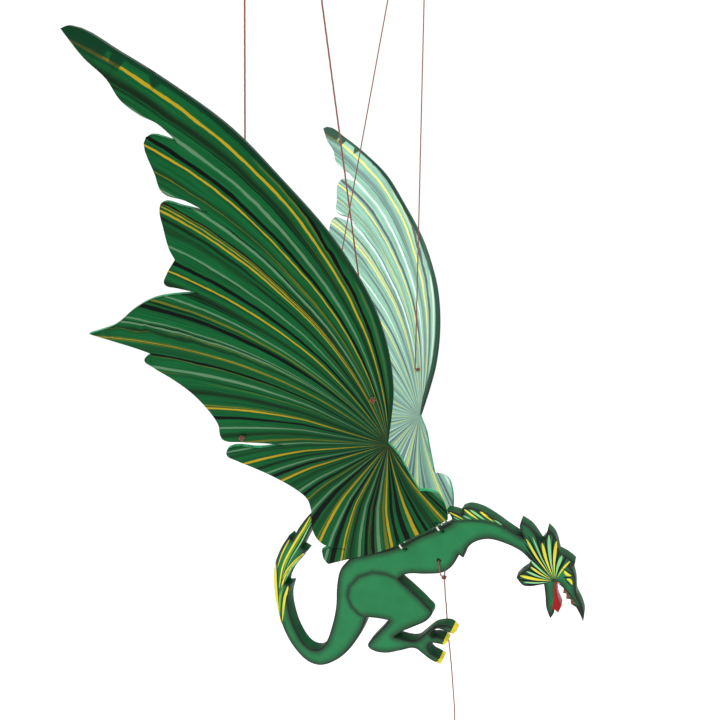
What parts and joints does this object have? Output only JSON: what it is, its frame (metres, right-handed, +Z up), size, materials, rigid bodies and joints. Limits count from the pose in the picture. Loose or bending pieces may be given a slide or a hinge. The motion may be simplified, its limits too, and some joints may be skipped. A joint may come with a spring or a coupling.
{
  "type": "hanging dragon mobile",
  "caption": "Hanging dragon cut from painted board; its hinged wings hang on strings and flap when the cord below the chest is pulled.",
  "frame": {"origin": "centre of the hanging eye's hole, above the middle of the spreader bar", "axes": "+X towards the dragon's head, +Y towards its left wing, +Z up"},
  "size_m": [0.3275, 0.3606, 0.686],
  "materials": {
    "body_paint": "hand-painted satin, airbrushed dark at the edges",
    "wing_paint": "hand-painted satin with fanned brush strokes",
    "bare_wood": "smooth sanded wood",
    "string": "waxed thread",
    "white_cord": "white thread",
    "steel": "zinc-plated wire"
  },
  "bodies": {
    "hanger": {"hanging_eye": "steel", "spreader_bar": "bare_wood", "bar_knots": "string"},
    "right_front_line": {"right_front_string": "string"},
    "right_rear_line": {"right_rear_string": "string"},
    "left_front_line": {"left_front_string": "string"},
    "left_rear_line": {"left_rear_string": "string"},
    "dragon": {"body_board": "body_paint", "right_front_hinge_cord": "white_cord", "right_rear_hinge_cord": "white_cord", "left_front_hinge_cord": "white_cord", "left_rear_hinge_cord": "white_cord", "chest_tie": "string"},
    "right_wing": {"right_wing": "wing_paint", "right_wing_ties": "string"},
    "left_wing": {"left_wing": "wing_paint", "left_wing_ties": "string"},
    "pull": {"pull_cord": "string", "pull_bead": "bare_wood", "bead_knot": "string"}
  },
  "joints": [
    {"name": "body_lift", "type": "slide", "parent": "hanger", "child": "dragon", "axis": [0, 0, 1], "range_m": [-0.004, 0.04], "stiffness_N_per_m": 400},
    {"name": "right_wing_flap", "type": "hinge", "parent": "dragon", "child": "right_wing", "pos_m": [0.07, -0.006, -0.477], "axis": [0.8387, 0, 0.5446], "range_deg": [-4, 35.5]},
    {"name": "left_wing_flap", "type": "hinge", "parent": "dragon", "child": "left_wing", "pos_m": [0.07, 0.006, -0.477], "axis": [-0.8387, 0, -0.5446], "range_deg": [-4, 35.5]},
    {"name": "right_front_string_swing", "type": "hinge", "parent": "hanger", "child": "right_front_line", "pos_m": [0.014, -0.13, -0.022], "axis": [-0.8869, -0.4388, -0.1447], "range_deg": [-1.5, 10]},
    {"name": "right_rear_string_swing", "type": "hinge", "parent": "hanger", "child": "right_rear_line", "pos_m": [-0.014, -0.13, -0.022], "axis": [-0.8915, -0.4513, 0.039], "range_deg": [-1.5, 11.2]},
    {"name": "left_front_string_swing", "type": "hinge", "parent": "hanger", "child": "left_front_line", "pos_m": [0.014, 0.13, -0.022], "axis": [0.8869, -0.4388, 0.1447], "range_deg": [-1.5, 10]},
    {"name": "left_rear_string_swing", "type": "hinge", "parent": "hanger", "child": "left_rear_line", "pos_m": [-0.014, 0.13, -0.022], "axis": [0.8915, -0.4513, -0.039], "range_deg": [-1.5, 11.2]},
    {"name": "pull_cord_swing", "type": "hinge", "parent": "dragon", "child": "pull", "pos_m": [0.073, 0.002, -0.522], "axis": [0, 1, 0], "range_deg": [-20, 5]}
  ],
  "couplings": [
    {"joint": "right_wing_flap", "follows": "body_lift", "rad_per_m": 15.27},
    {"joint": "left_wing_flap", "follows": "body_lift", "rad_per_m": 15.27},
    {"joint": "right_front_string_swing", "follows": "body_lift", "rad_per_m": 4.237},
    {"joint": "right_rear_string_swing", "follows": "body_lift", "rad_per_m": 4.754},
    {"joint": "left_front_string_swing", "follows": "body_lift", "rad_per_m": 4.237},
    {"joint": "left_rear_string_swing", "follows": "body_lift", "rad_per_m": 4.754}
  ]
}
